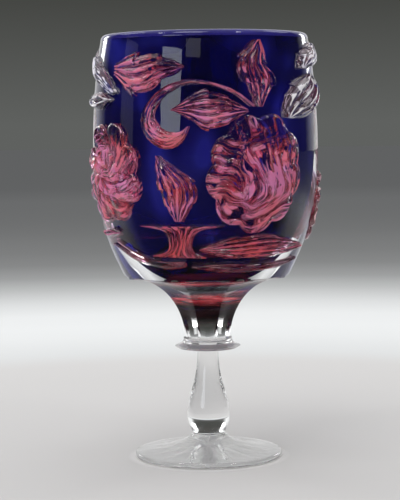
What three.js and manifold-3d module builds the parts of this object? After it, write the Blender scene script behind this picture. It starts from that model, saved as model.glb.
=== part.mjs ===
import * as THREE from 'three';
import Module from 'manifold-3d';
import { mergeVertices } from 'three/addons/utils/BufferGeometryUtils.js';

// Footed liqueur glass of cased and carved crystal, in millimetres, +Z up, standing on z = 0.
// The front of the ornament faces -Y. Every layer is fused in life: curved layers keep a narrow
// gap here, and the parts that were stuck together hot butt on flat faces.

// Heights, stacked from the table to the lip
const FOOT_HEIGHT = 6.4;
const STEM_LENGTH = 24.6;
const MERESE_HEIGHT = 3.0;
const NECK_HEIGHT = 18.2;
const BOWL_HEIGHT = 67.8;

// Foot: a low cone with a rounded edge and a star cut into its underside
const FOOT_RADIUS = 21.0;
const FOOT_EDGE = 1.6;
const FOOT_JOINT_RADIUS = 4.7;
const STAR_RAYS = 16;
const STAR_INNER = 2.4;
const STAR_OUTER = 17.2;
const STAR_WIDTH = 2.2;
const STAR_DEPTH = 0.9;

// Stem: thinnest under the collar, swelling in one long taper into a knop just above the foot
const ROD_RADIUS = 2.95;
const KNOP_RADIUS = 6.1;
const KNOP_HEIGHT = 5.0;

// Merese: the sharp-edged collar between stem and bowl
const MERESE_RADIUS = 9.4;
const MERESE_UNDER_RADIUS = 8.2;
const MERESE_EDGE_HEIGHT = 0.7;

// Crystal bowl: a neck cut with hollow flutes, a sharp ledge, and a barrel-shaped wall
const NECK_RADIUS = 6.9;
const FLUTES = 8;
const FLUTE_SHARE = 0.13;
const FLUTE_FADE = 0.6;
const LEDGE_RADIUS = 23.5;
const LEDGE_EDGE = 0.5;
const BELLY_RADIUS = 31.8;
const BELLY_SHARE = 0.5;
const RIM_RADIUS = 29.2;
const LIP_HEIGHT = 1.7;

// Cobalt lining: the coloured cup inside the crystal, turned out over its wall to make the lip
const LINING_THICKNESS = 1.2;
const LIP_WIDTH = 3.0;
const CAVITY_RADIUS = 19.0;
const THROAT_SHARE = 0.35;
const BASIN_SHARE = 0.47;
const FLOOR_ABOVE_LEDGE = 2.0;

// Ruby overlay: islands of the outer casing, left standing when the ground was cut away
const RELIEF = 2.0;
const TOOTH_SHARE = 0.2;
const NOTCH_SHARE = 0.16;
const SWAY_SHARE = 0.05;

// Gap kept between curved faces that are fused in life
const FUSED_GAP = 0.3;

// Fineness of the round shapes
const SEGMENTS = 48;
const CURVE_STEPS = 5;

const STEM_Z = FOOT_HEIGHT;
const MERESE_Z = STEM_Z + STEM_LENGTH;
const NECK_Z = MERESE_Z + MERESE_HEIGHT;
const LEDGE_Z = NECK_Z + NECK_HEIGHT;
const RIM_Z = LEDGE_Z + BOWL_HEIGHT;
const LIP_Z = RIM_Z - LIP_HEIGHT;
const BELLY_Z = LEDGE_Z + BOWL_HEIGHT * BELLY_SHARE;
const MOUTH_RADIUS = RIM_RADIUS - LIP_WIDTH;
const THROAT_Z = RIM_Z - BOWL_HEIGHT * THROAT_SHARE;
const BASIN_HEIGHT = BOWL_HEIGHT * BASIN_SHARE;

const CRYSTAL = { color: 0xdfe6ea, roughness: 0.04, metalness: 0 };
const COBALT = { color: 0x23246f, roughness: 0.06, metalness: 0 };
const RUBY = { color: 0xb8526c, roughness: 0.1, metalness: 0 };

const { degToRad, lerp, clamp } = THREE.MathUtils;

const glass = new THREE.Group();
glass.name = 'liqueur_glass';

function addPiece(name, geometry, finish) {
  geometry.computeVertexNormals();
  const mesh = new THREE.Mesh(geometry, new THREE.MeshStandardMaterial(finish));
  mesh.name = name;
  glass.add(mesh);
}

// Profiles are lists of points (radius, height) that start and end on the axis

const at = (radius, height) => new THREE.Vector2(radius, height);

function bezier(from, pullFrom, pullTo, to) {
  return new THREE.CubicBezierCurve(from, pullFrom, pullTo, to).getPoints(CURVE_STEPS);
}

function ellipseArc(centre, width, height, fromDegrees, toDegrees, steps = CURVE_STEPS) {
  const start = degToRad(fromDegrees);
  const end = degToRad(toDegrees);
  return new THREE.EllipseCurve(centre.x, centre.y, width, height, start, end, end < start).getPoints(steps);
}

function withoutRepeats(points) {
  return points.filter((point, i) => i === 0 || point.distanceTo(points[i - 1]) > 1e-6);
}

function welded(geometry) {
  geometry.deleteAttribute('normal');
  geometry.deleteAttribute('uv');
  return mergeVertices(geometry, 1e-5);
}

// Turns a profile round the axis; radiusLeft tells the share of the radius that a cut leaves
// at a point of the profile and an angle from the front
function revolve(profile, radiusLeft = () => 1) {
  const points = withoutRepeats(profile);
  const lathe = new THREE.LatheGeometry(points, SEGMENTS).rotateX(Math.PI / 2);
  const position = lathe.attributes.position;
  for (let i = 0; i < position.count; i += 1) {
    const x = position.getX(i);
    const y = position.getY(i);
    const share = radiusLeft(points[i % points.length], Math.atan2(x, -y));
    position.setXY(i, x * share, y * share);
  }
  return welded(lathe);
}

// Foot

function footProfile() {
  const edge = FOOT_EDGE / 2;
  const flat = FOOT_RADIUS - edge;
  return [
    at(0, 0),
    at(flat, 0),
    ...ellipseArc(at(flat, edge), edge, edge, -90, 90, 4),
    ...bezier(
      at(flat, FOOT_EDGE),
      at(FOOT_RADIUS * 0.6, FOOT_EDGE * 1.5),
      at(FOOT_JOINT_RADIUS * 1.5, FOOT_HEIGHT * 0.6),
      at(FOOT_JOINT_RADIUS, FOOT_HEIGHT),
    ),
    at(0, FOOT_HEIGHT),
  ];
}

// One ray of the star: a mitre cut, pointed at both ends, sunk into the underside
function starRay(angle) {
  const halfLength = (STAR_OUTER - STAR_INNER) / 2;
  const ray = new THREE.OctahedronGeometry(1);
  ray.scale(halfLength, STAR_WIDTH / 2, STAR_DEPTH);
  ray.translate(STAR_INNER + halfLength, 0, 0);
  return welded(ray.rotateZ(angle));
}

const wasm = await Module();
wasm.setup();

function toSolid(geometry) {
  return new wasm.Manifold(new wasm.Mesh({
    numProp: 3,
    vertProperties: new Float32Array(geometry.attributes.position.array),
    triVerts: new Uint32Array(geometry.index.array),
  }));
}

function toGeometry(solid) {
  const mesh = solid.getMesh();
  const geometry = new THREE.BufferGeometry();
  geometry.setAttribute('position', new THREE.Float32BufferAttribute(mesh.vertProperties, 3));
  geometry.setIndex(Array.from(mesh.triVerts));
  return geometry;
}

function starCutFoot() {
  let solid = toSolid(revolve(footProfile()));
  for (let ray = 0; ray < STAR_RAYS; ray += 1) {
    solid = solid.subtract(toSolid(starRay((ray * 2 * Math.PI) / STAR_RAYS)));
  }
  return toGeometry(solid);
}

addPiece('foot', starCutFoot(), CRYSTAL);

// Stem

function stemProfile() {
  const knopZ = STEM_Z + KNOP_HEIGHT;
  return [
    at(0, STEM_Z),
    ...bezier(
      at(FOOT_JOINT_RADIUS, STEM_Z),
      at(FOOT_JOINT_RADIUS, STEM_Z + KNOP_HEIGHT * 0.3),
      at(KNOP_RADIUS, STEM_Z + KNOP_HEIGHT * 0.5),
      at(KNOP_RADIUS, knopZ),
    ),
    ...bezier(
      at(KNOP_RADIUS, knopZ),
      at(KNOP_RADIUS, lerp(knopZ, MERESE_Z, 0.33)),
      at(ROD_RADIUS, lerp(knopZ, MERESE_Z, 0.48)),
      at(ROD_RADIUS, MERESE_Z),
    ),
    at(0, MERESE_Z),
  ];
}

addPiece('stem', revolve(stemProfile()), CRYSTAL);

// Merese

function mereseProfile() {
  const edge = at(MERESE_RADIUS, MERESE_Z + MERESE_EDGE_HEIGHT);
  return [
    at(0, MERESE_Z),
    at(MERESE_UNDER_RADIUS, MERESE_Z),
    ...bezier(
      edge,
      at(MERESE_UNDER_RADIUS, lerp(edge.y, NECK_Z, 0.2)),
      at(NECK_RADIUS, lerp(edge.y, NECK_Z, 0.3)),
      at(NECK_RADIUS, NECK_Z),
    ),
    at(0, NECK_Z),
  ];
}

addPiece('merese', revolve(mereseProfile()), CRYSTAL);

// Crystal bowl

function wallCurve() {
  const ledge = at(LEDGE_RADIUS, LEDGE_Z);
  const belly = at(BELLY_RADIUS, BELLY_Z);
  const lip = at(RIM_RADIUS, LIP_Z);
  return withoutRepeats([
    ...bezier(
      ledge,
      at(lerp(LEDGE_RADIUS, BELLY_RADIUS, 0.4), lerp(LEDGE_Z, BELLY_Z, 0.2)),
      at(BELLY_RADIUS, lerp(LEDGE_Z, BELLY_Z, 0.46)),
      belly,
    ),
    ...bezier(
      belly,
      at(BELLY_RADIUS, lerp(BELLY_Z, LIP_Z, 0.43)),
      at(lerp(RIM_RADIUS, BELLY_RADIUS, 0.5), lerp(BELLY_Z, LIP_Z, 0.8)),
      lip,
    ),
  ]);
}

const wall = wallCurve();

function wallRadius(z) {
  const upper = clamp(wall.findIndex((point) => point.y >= z), 1, wall.length - 1);
  const below = wall[upper - 1];
  const above = wall[upper];
  return lerp(below.x, above.x, (z - below.y) / (above.y - below.y));
}

// The inside of the cup, pushed outward by an offset, from the mouth down to the axis
function cupPath(offset) {
  const radius = CAVITY_RADIUS + offset;
  const mouth = MOUTH_RADIUS + offset;
  const basin = BASIN_HEIGHT + offset;
  return [
    ...bezier(
      at(mouth, LIP_Z),
      at(lerp(mouth, radius, 0.4), lerp(LIP_Z, THROAT_Z, 0.3)),
      at(radius, lerp(LIP_Z, THROAT_Z, 0.5)),
      at(radius, THROAT_Z),
    ),
    ...ellipseArc(at(0, LEDGE_Z + FLOOR_ABOVE_LEDGE + BASIN_HEIGHT), radius, basin, 0, -90, 2 * CURVE_STEPS),
  ];
}

const neck = bezier(
  at(NECK_RADIUS, NECK_Z),
  at(NECK_RADIUS, lerp(NECK_Z, LEDGE_Z, 0.38)),
  at(LEDGE_RADIUS / 2, LEDGE_Z - LEDGE_EDGE * 1.6),
  at(LEDGE_RADIUS, LEDGE_Z - LEDGE_EDGE),
);

function bowlProfile() {
  return [
    at(0, NECK_Z),
    ...neck,
    ...wall,
    ...cupPath(LINING_THICKNESS + FUSED_GAP),
  ];
}

// Hollow flutes: the neck is drawn in between sharp arrises, less so toward the ledge
function besideFlutes(point, angle) {
  if (!neck.includes(point)) return 1;
  const hollow = Math.abs(Math.cos((angle * FLUTES) / 2));
  const depth = FLUTE_SHARE * (1 - (FLUTE_FADE * (point.y - NECK_Z)) / NECK_HEIGHT);
  return 1 - depth * hollow;
}

addPiece('crystal_bowl', revolve(bowlProfile(), besideFlutes), CRYSTAL);

// Cobalt lining

function liningProfile() {
  const lip = at(RIM_RADIUS - LIP_WIDTH / 2, LIP_Z);
  return [
    ...cupPath(LINING_THICKNESS).reverse(),
    ...ellipseArc(lip, LIP_WIDTH / 2, LIP_HEIGHT, 0, 180, 6),
    ...cupPath(0),
  ];
}

addPiece('cobalt_lining', revolve(liningProfile()), COBALT);

// Ruby overlay
// A motif is drawn on a flat sheet, x round the belly and y up the bowl, then wrapped on the wall.
// Places on the bowl are [degrees from the front, share of the bowl height above the ledge].

const onSheet = ([degrees, share]) => at(degToRad(degrees) * BELLY_RADIUS, share * BOWL_HEIGHT);

function onWall(spot, height) {
  const angle = spot.x / BELLY_RADIUS;
  const z = LEDGE_Z + spot.y;
  const radius = wallRadius(z) + height;
  return new THREE.Vector3(radius * Math.sin(angle), -radius * Math.cos(angle), z);
}

// Lays a blank on the wall: its underside follows the crystal, its top is carved
function carve(blank, spotAt, reliefAt) {
  const position = blank.attributes.position;
  for (let i = 0; i < position.count; i += 1) {
    const u = position.getX(i);
    const v = position.getY(i);
    const carved = position.getZ(i) > 0 ? RELIEF * reliefAt(u, v) : 0;
    onWall(spotAt(u, v), FUSED_GAP + carved).toArray(position.array, 3 * i);
  }
  return welded(blank);
}

// A blade fills the space between two edges: u runs from base to tip, v from the right edge to the
// left one, right and left being those of the way from base to tip
function blade(right, left, steps, ribs, narrowing, reliefAt) {
  const blank = new THREE.BoxGeometry(1, 1, 1, steps, ribs, 1).translate(0.5, 0.5, 0);
  const [from, to] = [right, left].map((places) => new THREE.SplineCurve(places.map(onSheet)));
  const spotAt = (u, v) => from.getPointAt(u).lerp(to.getPointAt(u), 0.5 + (v - 0.5) * narrowing(u));
  return carve(blank, spotAt, reliefAt);
}

// Swells from nothing to full and back to nothing
const swell = (u) => Math.sin(Math.PI * clamp(u, 0, 1));

// A leaf: toothed edges, a sunk midrib and a raised lobe either side of it
function leaf(right, left, teeth = 3) {
  const narrowing = (u) => 1 - TOOTH_SHARE * ((u * teeth) % 1);
  const reliefAt = (u, v) => (0.4 + 0.5 * Math.abs(Math.sin(2 * Math.PI * v))) * (0.6 + 0.4 * swell(u));
  return blade(right, left, 12, 6, narrowing, reliefAt);
}

// A bud: plain edges and three overlapping petals that close at the tip
function bud(right, left) {
  const reliefAt = (u, v) => (0.4 + 0.6 * Math.sin(3 * Math.PI * v) ** 2) * (0.5 + 0.5 * swell(u));
  return blade(right, left, 8, 6, () => 1, reliefAt);
}

// A scroll: a curling stem with a rounded crown
function scroll(outer, inner) {
  const reliefAt = (u, v) => 0.3 + 0.45 * swell(v);
  return blade(outer, inner, 24, 4, () => 1, reliefAt);
}

// A stalk: a waisted stem, highest in the middle, that splays at its foot
function stalk(right, left) {
  const reliefAt = (u, v) => 0.4 + 0.3 * swell(v);
  return blade(right, left, 8, 4, () => 1, reliefAt);
}

// A flower: a heart, an inner row of petals and a lower outer row of uneven reach, on a round blank;
// size is its half width and half height, in degrees and a share like a place
function flower(centre, size, petals) {
  const heartEdge = 0.18;
  const innerEdge = 0.54;
  const step = 0.05;
  const rings = [0, heartEdge, heartEdge + step, innerEdge, innerEdge + step, 0.8, 1];
  const underside = [0, innerEdge, 1].map((r) => at(r, -1));
  const topside = rings.map((r) => at(r, 1)).reverse();
  const blank = new THREE.LatheGeometry([...underside, ...topside], petals * 4).rotateX(Math.PI / 2);
  const middle = onSheet(centre);
  const reach = onSheet(size);
  const petalAt = (u, v) => Math.abs(Math.cos((Math.atan2(u, v) * petals) / 2));
  const spotAt = (u, v) => {
    const notch = NOTCH_SHARE * (u * u + v * v) * (1 - petalAt(u, v));
    const sway = SWAY_SHARE * Math.sin(2 * Math.atan2(u, v) + 1);
    return at(u, v).multiply(reach).multiplyScalar(1 + sway - notch).add(middle);
  };
  const reliefAt = (u, v) => {
    const r = Math.hypot(u, v);
    if (r < heartEdge + step / 2) return 1.1;
    if (r < innerEdge + step / 2) return 0.95 - 0.3 * petalAt(u, v);
    return (0.4 + 0.4 * petalAt(u, v)) * (1 - 0.3 * r ** 4);
  };
  return carve(blank, spotAt, reliefAt);
}

const island = (name, geometry) => addPiece(name, geometry, RUBY);

// The main spray is carved on the front and again on the back
for (const [side, turn] of [['front', 0], ['back', 180]]) {
  const to = (...places) => places.map(([degrees, share]) => [degrees + turn, share]);

  island(`rose_${side}`, flower([26.5 + turn, 0.435], [28, 0.23], 9));
  island(`upright_leaf_${side}`, leaf(
    to([28, 0.694], [32, 0.735], [37, 0.775], [38, 0.819], [33, 0.859], [32, 0.915], [29, 0.957]),
    to([26, 0.694], [23, 0.732], [19, 0.787], [14, 0.843], [16, 0.894], [23, 0.942], [27, 0.957]),
  ));
  island(`level_leaf_${side}`, leaf(
    to([20, 0.687], [15, 0.714], [8, 0.748], [0, 0.768], [-6, 0.752], [-11, 0.72], [-16.5, 0.687]),
    to([20.5, 0.672], [15, 0.645], [8, 0.615], [0, 0.6], [-6, 0.634], [-11, 0.66], [-16.5, 0.683]),
    4,
  ));
  island(`upper_scroll_${side}`, scroll(
    to([24, 0.704], [13, 0.766], [-5, 0.804], [-21, 0.774], [-32, 0.686], [-32, 0.606], [-25, 0.546],
      [-17, 0.533], [-11, 0.566], [-8, 0.618]),
    to([23, 0.694], [12.5, 0.752], [-5, 0.787], [-18.5, 0.754], [-26, 0.683], [-25, 0.638], [-20, 0.606],
      [-15.5, 0.598], [-11.5, 0.603], [-8.5, 0.62]),
  ));
  island(`left_bud_${side}`, bud(
    to([-11, 0.857], [-16, 0.885], [-23, 0.905], [-32, 0.917], [-42, 0.91], [-50, 0.88]),
    to([-11, 0.85], [-15, 0.824], [-22, 0.796], [-29, 0.752], [-38, 0.74], [-50, 0.815]),
  ));
  island(`lower_leaf_${side}`, leaf(
    to([-12, 0.246], [-8, 0.29], [-4, 0.345], [-5, 0.403], [-13, 0.455], [-23.5, 0.507]),
    to([-16, 0.246], [-20, 0.293], [-23, 0.349], [-25, 0.404], [-25, 0.46], [-24, 0.507]),
  ));
  island(`right_bud_${side}`, bud(
    to([46, 0.646], [58, 0.65], [72, 0.683], [80, 0.75], [66, 0.826]),
    to([42, 0.652], [41, 0.7], [45, 0.765], [53, 0.81], [64, 0.828]),
  ));
  island(`rim_leaf_${side}`, leaf(
    to([61, 0.846], [72, 0.858], [84, 0.892], [78, 0.95]),
    to([57, 0.848], [56, 0.878], [60, 0.918], [72, 0.955]),
  ));
  island(`side_leaf_${side}`, leaf(
    to([-50, 0.762], [-57, 0.815], [-66, 0.866], [-76, 0.91]),
    to([-52, 0.748], [-61, 0.785], [-74, 0.83], [-81, 0.895]),
  ));
  island(`drop_${side}`, bud(
    to([-55, 0.735], [-63, 0.762], [-73, 0.76], [-80, 0.735]),
    to([-55, 0.725], [-63, 0.69], [-73, 0.697], [-80, 0.728]),
  ));
}

// Under the front spray, down to the ledge
island('low_stalk_front', stalk(
  [[-37, 0.226], [-24, 0.208], [-21, 0.166], [-23, 0.124], [-34, 0.104]],
  [[10, 0.226], [-4, 0.208], [-8, 0.166], [-7, 0.124], [0, 0.098]],
));
island('low_leaf_front', leaf(
  [[62, 0.145], [45, 0.175], [30, 0.19], [18, 0.183], [6, 0.165], [-4, 0.136]],
  [[66, 0.124], [52, 0.102], [36, 0.093], [20, 0.09], [7, 0.101], [-4, 0.123]],
));
island('base_leaf_front', leaf(
  [[63, 0.087], [43, 0.073], [25, 0.068], [9, 0.072], [-9, 0.066]],
  [[64, 0.07], [46, 0.043], [26, 0.034], [9, 0.038], [-9, 0.054]],
  2,
));

island('low_scroll_front', scroll(
  [[-62, 0.146], [-51, 0.092], [-38, 0.064], [-25, 0.052], [-13, 0.06]],
  [[-59, 0.152], [-48, 0.122], [-37, 0.094], [-25, 0.082], [-13, 0.082]],
));

// Between the sprays
island('flower_left', flower([-57, 0.435], [24, 0.2], 8));
island('flower_right', flower([102, 0.28], [18, 0.148], 8));
island('drop_under_flower_left', bud(
  [[-55, 0.196], [-61, 0.212], [-70, 0.2]],
  [[-55, 0.19], [-63, 0.174], [-70, 0.188]],
));

export default glass;
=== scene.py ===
"""Looks of the liqueur glass: clear lead crystal with a cobalt lining and a carved ruby overlay."""
import math

import bpy
import numpy as np
from mathutils import Matrix, Vector


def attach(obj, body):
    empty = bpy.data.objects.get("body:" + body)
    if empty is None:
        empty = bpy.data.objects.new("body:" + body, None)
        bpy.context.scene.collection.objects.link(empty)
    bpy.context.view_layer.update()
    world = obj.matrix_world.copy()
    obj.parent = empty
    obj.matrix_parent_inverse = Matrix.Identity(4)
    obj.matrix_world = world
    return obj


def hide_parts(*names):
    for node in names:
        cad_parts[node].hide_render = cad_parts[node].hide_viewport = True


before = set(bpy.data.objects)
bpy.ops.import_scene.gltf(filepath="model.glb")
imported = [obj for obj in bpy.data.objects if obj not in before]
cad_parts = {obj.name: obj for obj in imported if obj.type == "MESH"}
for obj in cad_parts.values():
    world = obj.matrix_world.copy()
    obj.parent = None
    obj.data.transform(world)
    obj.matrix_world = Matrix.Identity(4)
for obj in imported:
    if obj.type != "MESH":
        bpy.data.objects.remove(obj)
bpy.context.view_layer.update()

# Sizes of the glass in millimetres, the same as the solids have
MM = 0.001
FOOT_HEIGHT = 6.4
STEM_LENGTH = 24.6
MERESE_HEIGHT = 3.0
NECK_HEIGHT = 18.2
BOWL_HEIGHT = 67.8
STEM_Z = FOOT_HEIGHT
MERESE_Z = STEM_Z + STEM_LENGTH
NECK_Z = MERESE_Z + MERESE_HEIGHT
LEDGE_Z = NECK_Z + NECK_HEIGHT
RIM_Z = LEDGE_Z + BOWL_HEIGHT

FOOT_RADIUS = 21.0
FOOT_EDGE = 1.6
FOOT_JOINT_RADIUS = 4.7
STAR_RAYS = 16
STAR_INNER = 2.4
STAR_OUTER = 17.2
STAR_WIDTH = 2.2
STAR_DEPTH = 0.9

ROD_RADIUS = 2.95
KNOP_RADIUS = 6.1
KNOP_HEIGHT = 5.0
MERESE_RADIUS = 9.4
MERESE_UNDER_RADIUS = 8.2
MERESE_EDGE_HEIGHT = 0.7

NECK_RADIUS = 6.9
FLUTES = 8
FLUTE_SHARE = 0.13
FLUTE_FADE = 0.6
LEDGE_RADIUS = 23.5
LEDGE_EDGE = 0.5
BELLY_RADIUS = 31.8
BELLY_SHARE = 0.5
BELLY_Z = LEDGE_Z + BOWL_HEIGHT * BELLY_SHARE
RIM_RADIUS = 29.2
LIP_HEIGHT = 1.7
LIP_Z = RIM_Z - LIP_HEIGHT

LINING_THICKNESS = 1.2
LIP_WIDTH = 3.0
CAVITY_RADIUS = 19.0
MOUTH_RADIUS = RIM_RADIUS - LIP_WIDTH
THROAT_SHARE = 0.35
THROAT_DEPTH = BOWL_HEIGHT * THROAT_SHARE
FLOOR_ABOVE_LEDGE = 2.0
BASIN_SHARE = 0.47
BASIN_HEIGHT = BOWL_HEIGHT * BASIN_SHARE
RELIEF = 2.0

# Of the looks alone: the gap between fused faces and the depth of the ruby bed, in millimetres
SKIN = 0.02
BED_DEPTH = 2.2

# Fineness of the turned shapes: points around and steps along
AROUND = 448
TURNED_AROUND = 192
LINING_AROUND = 240
FOOT_AROUND = 384
WALL_ROWS = 150
WALL_STEPS = 400
NECK_STEPS = 24
SOCKET_STEPS = 14
LINING_STEPS = 30
LIP_STEPS = 16
MERESE_STEPS = 16
KNOP_STEPS = 16
TAPER_STEPS = 36
UNDER_ROWS = 40
FOOT_EDGE_STEPS = 12
FOOT_RISE_STEPS = 28


# Curves in the flat: a profile is rows of radius and height
def lerp(a, b, t):
    return a + (b - a) * t


def bezier(p0, p1, p2, p3, steps):
    t = np.linspace(0, 1, steps + 1)[:, None]
    p0, p1, p2, p3 = (np.array(p, float) for p in (p0, p1, p2, p3))
    return (1 - t) ** 3 * p0 + 3 * (1 - t) ** 2 * t * p1 + 3 * (1 - t) * t ** 2 * p2 + t ** 3 * p3


def ellipse_arc(centre, radius, height, start, end, steps):
    a = np.radians(np.linspace(start, end, steps + 1))
    return np.stack([centre[0] + radius * np.cos(a), centre[1] + height * np.sin(a)], 1)


def wall_curve(steps):
    low = bezier((LEDGE_RADIUS, LEDGE_Z),
                 (lerp(LEDGE_RADIUS, BELLY_RADIUS, 0.4), lerp(LEDGE_Z, BELLY_Z, 0.2)),
                 (BELLY_RADIUS, lerp(LEDGE_Z, BELLY_Z, 0.46)),
                 (BELLY_RADIUS, BELLY_Z), steps)
    high = bezier((BELLY_RADIUS, BELLY_Z),
                  (BELLY_RADIUS, lerp(BELLY_Z, LIP_Z, 0.43)),
                  (lerp(RIM_RADIUS, BELLY_RADIUS, 0.5), lerp(BELLY_Z, LIP_Z, 0.8)),
                  (RIM_RADIUS, LIP_Z), steps)
    return np.vstack([low, high[1:]])


WALL = wall_curve(WALL_STEPS)


def wall_radius(z):
    return np.interp(z, WALL[:, 1], WALL[:, 0])


def cup_path(offset, steps):
    """The cavity's line from the mouth down to the middle of its floor, moved outwards by offset."""
    radius, mouth, throat = CAVITY_RADIUS + offset, MOUTH_RADIUS + offset, RIM_Z - THROAT_DEPTH
    upper = bezier((mouth, LIP_Z), (lerp(mouth, radius, 0.4), lerp(LIP_Z, throat, 0.3)),
                   (radius, lerp(LIP_Z, throat, 0.5)), (radius, throat), steps)
    middle = (0, LEDGE_Z + FLOOR_ABOVE_LEDGE + BASIN_HEIGHT)
    basin = ellipse_arc(middle, radius, BASIN_HEIGHT + offset, 0, -90, 2 * steps)
    basin[-1, 0] = 0
    return np.vstack([upper, basin])


# Materials
GLASS_IOR = 1.52
WHITE = (1.0, 1.0, 1.0)
# Heights and reach of the painted refraction and painted shade in the neck
PAINTED_NECK_Z = ((NECK_Z + 4.0) * MM, (LEDGE_Z + 0.2) * MM)
PAINTED_NECK_REACH = 0.016
LAYER_Z = ((LEDGE_Z + 3.8) * MM, (RIM_Z - 2.0) * MM)
BED_LEVELS = (0.12, 0.34, 0.62, 0.95)
CORAL_TO_VIOLET = ((1.0, 0.75, 0.60), (0.90, 1.0, 1.18))
# Silver drift of the edge motifs, part of their painted reflection
PAINTED_SILVER_SHEEN = ((1.0, 0.98, 0.97), (0.97, 0.94, 1.0))


def new_material(name):
    material = bpy.data.materials.new(name)
    material.use_nodes = True
    material.node_tree.nodes.clear()
    return material, material.node_tree


def shown(material, shader):
    """The material with its output set to a shader."""
    tree = material.node_tree
    tree.links.new(shader, tree.nodes.new("ShaderNodeOutputMaterial").inputs[0])
    return material


def add(tree, kind, inputs=None, **settings):
    """A node with its settings. Each input is a socket to link or a plain value."""
    node = tree.nodes.new("ShaderNode" + kind)
    for key, value in settings.items():
        setattr(node, key, value)
    for key, value in (inputs or {}).items():
        if isinstance(value, bpy.types.NodeSocket):
            tree.links.new(value, node.inputs[key])
        else:
            node.inputs[key].default_value = value
    return node


def reckon(tree, operation, *terms, **settings):
    return add(tree, "Math", dict(enumerate(terms)), operation=operation, **settings).outputs[0]


def span(tree, value, low, high, start=0.0, end=1.0):
    """Start where the value is low, end where it is high, and evenly between."""
    ends = {"From Min": low, "From Max": high, "To Min": start, "To Max": end}
    return add(tree, "MapRange", {"Value": value, **ends}).outputs[0]


def split(tree, vector):
    return add(tree, "SeparateXYZ", {0: vector}).outputs


def place_on(tree):
    return add(tree, "TexCoord").outputs["Object"]


def grain_of(tree):
    """The grain that a mesh carries: millimetres along, millimetres across and tone; on the lining, degrees,
    height and painted light and shade.
    """
    return add(tree, "Attribute", attribute_name="grain").outputs["Vector"]


def grey(level):
    return (level,) * 3


def ramp(tree, fac, stops):
    node = add(tree, "ValToRGB", {"Fac": fac})
    elements = node.color_ramp.elements
    while len(elements) < len(stops):
        elements.new(0.5)
    for element, (place, colour) in zip(elements, stops):
        element.position = place
        element.color = (*colour, 1)
    return node.outputs["Color"]


def blend(tree, way, first, second):
    """Two colours put together: multiplied, added or the lighter of both."""
    return add(tree, "Mix", {0: 1.0, 6: first, 7: second}, data_type="RGBA", blend_type=way).outputs[2]


def mixed_colour(tree, share, first, second):
    return add(tree, "Mix", {0: share, 6: first, 7: second}, data_type="RGBA").outputs[2]


def mixed_shader(tree, share, first, second):
    return add(tree, "MixShader", {0: share, 1: first, 2: second}).outputs[0]


def noise(tree, scale, detail=3.0, stretch=(1, 1, 1)):
    mapped = add(tree, "Mapping", {"Vector": place_on(tree), "Scale": stretch}).outputs[0]
    return add(tree, "TexNoise", {"Vector": mapped, "Scale": scale, "Detail": detail}).outputs["Fac"]


def grain_noise(tree, grain, stretch, detail, distortion):
    mapped = add(tree, "Mapping", {"Vector": grain, "Scale": stretch}).outputs[0]
    inputs = {"Vector": mapped, "Scale": 1.0, "Detail": detail, "Distortion": distortion}
    return add(tree, "TexNoise", inputs).outputs["Fac"]


def bumped(tree, height, strength, distance):
    return add(tree, "Bump", {"Height": height, "Strength": strength, "Distance": distance}).outputs[0]


def polished(tree, colour, normal, rough=0.0, through=1.0):
    """Polished glass, which lets a share of the light through."""
    inputs = {"Base Color": colour, "Normal": normal, "Roughness": rough, "IOR": GLASS_IOR,
              "Transmission Weight": through}
    return add(tree, "BsdfPrincipled", inputs).outputs[0]


def painted_neck_refraction(tree):
    """Painted refraction of the ruby above, as coral strands in the top of the neck, and painted shade lower
    down and in its core: its share and its shader.
    """
    place = split(tree, place_on(tree))
    depth = span(tree, place["Z"], *PAINTED_NECK_Z)
    aside = span(tree, reckon(tree, "ABSOLUTE", place["X"]), 0.0, PAINTED_NECK_REACH)
    core = ramp(tree, aside, [(0.50, grey(1.0)), (0.80, grey(0.0))])
    zone = ramp(tree, depth, [(0.0, grey(0.0)), (0.2, grey(0.85)), (0.96, grey(0.9)), (0.98, grey(0.0))])
    # Painted refraction: coral strands of the ruby above, seen through the top of the neck
    strands = ramp(tree, noise(tree, 50, 4, (0.5, 0.5, 7)), [(0.45, grey(0.0)), (0.58, grey(1.0))])
    # Painted shade: the lower part of the neck is covered fully
    darker = ramp(tree, depth, [(0.42, grey(1.0)), (0.52, grey(0.0))])
    share = blend(tree, "MULTIPLY", zone, blend(tree, "LIGHTEN", strands, darker))
    share = blend(tree, "MULTIPLY", share, core)
    red = ramp(tree, noise(tree, 260, 3, (0.5, 0.5, 4)), [
        (0.38, (0.06, 0.004, 0.010)), (0.50, (0.60, 0.035, 0.05)), (0.62, (1.0, 0.20, 0.22))])
    # Painted shade: the red turns near black lower down the neck
    painted_shade = ramp(tree, depth, [(0.40, (0.02, 0.02, 0.03)), (0.55, WHITE)])
    red = blend(tree, "MULTIPLY", red, painted_shade)
    painted_neck_shader = add(tree, "BsdfPrincipled", {"Base Color": red, "Roughness": 0.02, "IOR": GLASS_IOR})
    return share, painted_neck_shader.outputs[0]


def crystal_material():
    """Clear lead crystal: a breath of grey, hand-polished waviness and the painted refraction and painted
    shade in the neck.
    """
    material, tree = new_material("lead_crystal")
    tint = ramp(tree, noise(tree, 60), [(0.3, (0.985, 0.995, 0.995)), (0.7, WHITE)])
    clear = polished(tree, tint, bumped(tree, noise(tree, 140, 2), 0.06, 0.0004))
    share, painted_neck_shader = painted_neck_refraction(tree)
    return shown(material, mixed_shader(tree, share, clear, painted_neck_shader))


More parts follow.
